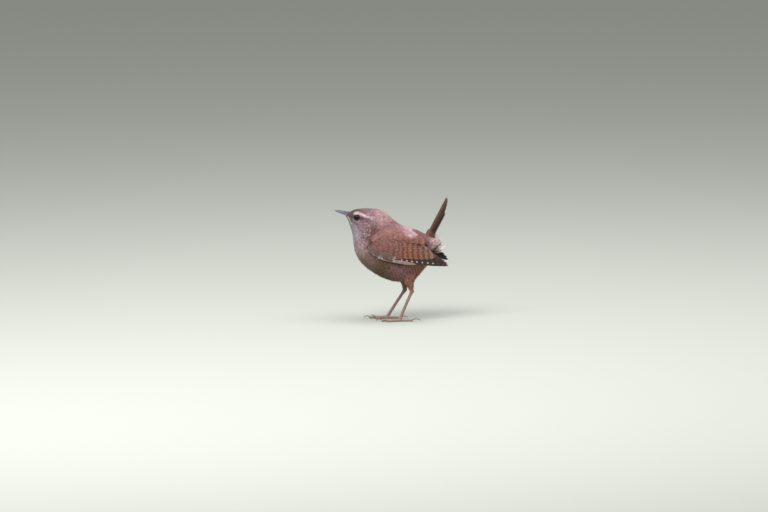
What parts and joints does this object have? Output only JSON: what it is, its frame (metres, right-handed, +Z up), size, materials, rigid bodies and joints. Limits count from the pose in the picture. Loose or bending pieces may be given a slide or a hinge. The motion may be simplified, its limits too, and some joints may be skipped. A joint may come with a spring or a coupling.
{
  "type": "wren",
  "caption": "Still life-size model of a small brown wren, standing on both feet with its tail cocked and its wings folded.",
  "frame": {"origin": "on the floor under the middle of the model's bounding box", "axes": "+Z up, the bill points along -X, and the bird's left side is on -Y"},
  "size_m": [0.0663, 0.0312, 0.0715],
  "materials": {
    "plumage": "soft matt feathers, warm brown above and paler buff-grey on throat and breast",
    "flight_feathers": "close rufous vanes with fine dark bars",
    "bill": "horn, dark above and paler below, satin",
    "eye": "wet, near black",
    "leg_skin": "fine scales, flesh brown"
  },
  "bodies": {
    "root": {"head": "plumage", "bill_upper": "bill", "bill_lower": "bill", "eye_left": "eye", "eye_right": "eye", "neck": "plumage", "torso": "plumage", "rump": "plumage", "tail": "flight_feathers", "wing_left": "flight_feathers", "wing_right": "flight_feathers", "thigh_left": "plumage", "thigh_right": "plumage", "tarsus_left": "leg_skin", "tarsus_right": "leg_skin", "foot_left": "leg_skin", "foot_right": "leg_skin"}
  },
  "joints": []
}
